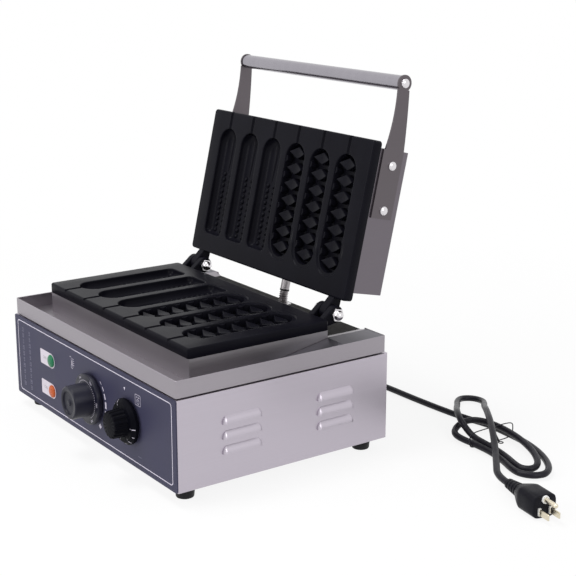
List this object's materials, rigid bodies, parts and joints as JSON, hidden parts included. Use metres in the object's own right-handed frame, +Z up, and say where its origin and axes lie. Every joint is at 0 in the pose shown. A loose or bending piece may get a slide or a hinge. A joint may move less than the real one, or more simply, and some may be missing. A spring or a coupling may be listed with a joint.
{
  "type": "hot dog waffle maker",
  "caption": "Countertop waffle maker for hot dogs on sticks: hinged cast mould plates on a steel case with a drip tray, a bar handle, dial thermostat, timer, lamps and a coiled mains cord.",
  "frame": {"origin": "on the table under the middle of the machine, with the free cord left out, lid open on its stop", "axes": "+X to the machine's right as seen from the front, +Y to its back, +Z up; the controls face -Y"},
  "size_m": [0.6172, 0.4752, 0.3997],
  "materials": {
    "brushed_case": "brushed",
    "tray_steel": "satin",
    "inner_steel": "satin",
    "panel_black": "satin",
    "mould_coating": "semi-gloss",
    "polished_steel": "polished",
    "bar_steel": "brushed",
    "element_steel": "heat-tinted",
    "foot_rubber": "matte",
    "cord_rubber": "matte",
    "knob_black": "gloss",
    "unit_plastic": "matte",
    "lens_green": "gloss",
    "lens_orange": "gloss",
    "holder_black": "matte",
    "capillary_copper": "satin",
    "collar_white": "matte",
    "pin_brass": "polished",
    "hose_steel": "satin"
  },
  "bodies": {
    "base": {"case_wrap": "brushed_case", "bottom_plate": "inner_steel", "rubber_feet": "foot_rubber", "foot_screws": "inner_steel", "control_panel": "panel_black", "control_screws": "inner_steel", "top_tray": "tray_steel", "mould_collar": "tray_steel", "rear_deck": "tray_steel", "lower_mould_plate": "mould_coating", "hinge_bolts": "polished_steel", "hinge_nuts": "polished_steel", "lower_heating_element": "element_steel", "lower_element_clamps": "inner_steel", "lower_clamp_screws": "inner_steel", "lower_heat_shield": "inner_steel", "conduit_base_fitting": "polished_steel", "conduit_hose": "hose_steel", "green_lens": "lens_green", "orange_lens": "lens_orange", "lamp_holders": "holder_black", "thermostat": "unit_plastic", "thermostat_bulb": "capillary_copper", "timer": "unit_plastic", "cord_gland": "foot_rubber", "terminal_block": "unit_plastic", "power_cord": "cord_rubber", "cord_hank": "cord_rubber", "cord_tail": "cord_rubber", "cord_tie": "cord_rubber", "plug_body": "cord_rubber", "plug_pins": "pin_brass", "pin_collars": "collar_white"},
    "lid": {"upper_mould_plate": "mould_coating", "upper_heating_element": "element_steel", "upper_element_clamps": "inner_steel", "upper_clamp_screws": "inner_steel", "upper_heat_shield": "inner_steel", "lid_housing": "brushed_case", "handle_arm_left": "brushed_case", "handle_arm_right": "brushed_case", "handle_bar": "bar_steel", "arm_bolts": "polished_steel", "arm_nuts": "inner_steel", "handle_end_bolts": "polished_steel", "conduit_lid_fitting": "polished_steel", "conduit_ring": "foot_rubber"},
    "temperature_knob": {"temperature_knob": "knob_black", "temperature_spindle": "inner_steel"},
    "timer_knob": {"timer_knob": "knob_black", "timer_spindle": "inner_steel"}
  },
  "joints": [
    {"name": "lid_hinge", "type": "hinge", "parent": "base", "child": "lid", "pos_m": [0, 0.07862, 0.15], "axis": [1, 0, 0], "range_deg": [0, 102.8], "deforming": ["conduit_hose"]},
    {"name": "temperature_turn", "type": "hinge", "parent": "base", "child": "temperature_knob", "pos_m": [0.008, -0.14408, 0.0615], "axis": [0, 1, 0], "range_deg": [0, 300]},
    {"name": "timer_turn", "type": "hinge", "parent": "base", "child": "timer_knob", "pos_m": [0.091, -0.14408, 0.0615], "axis": [0, 1, 0], "range_deg": [0, 300]}
  ]
}
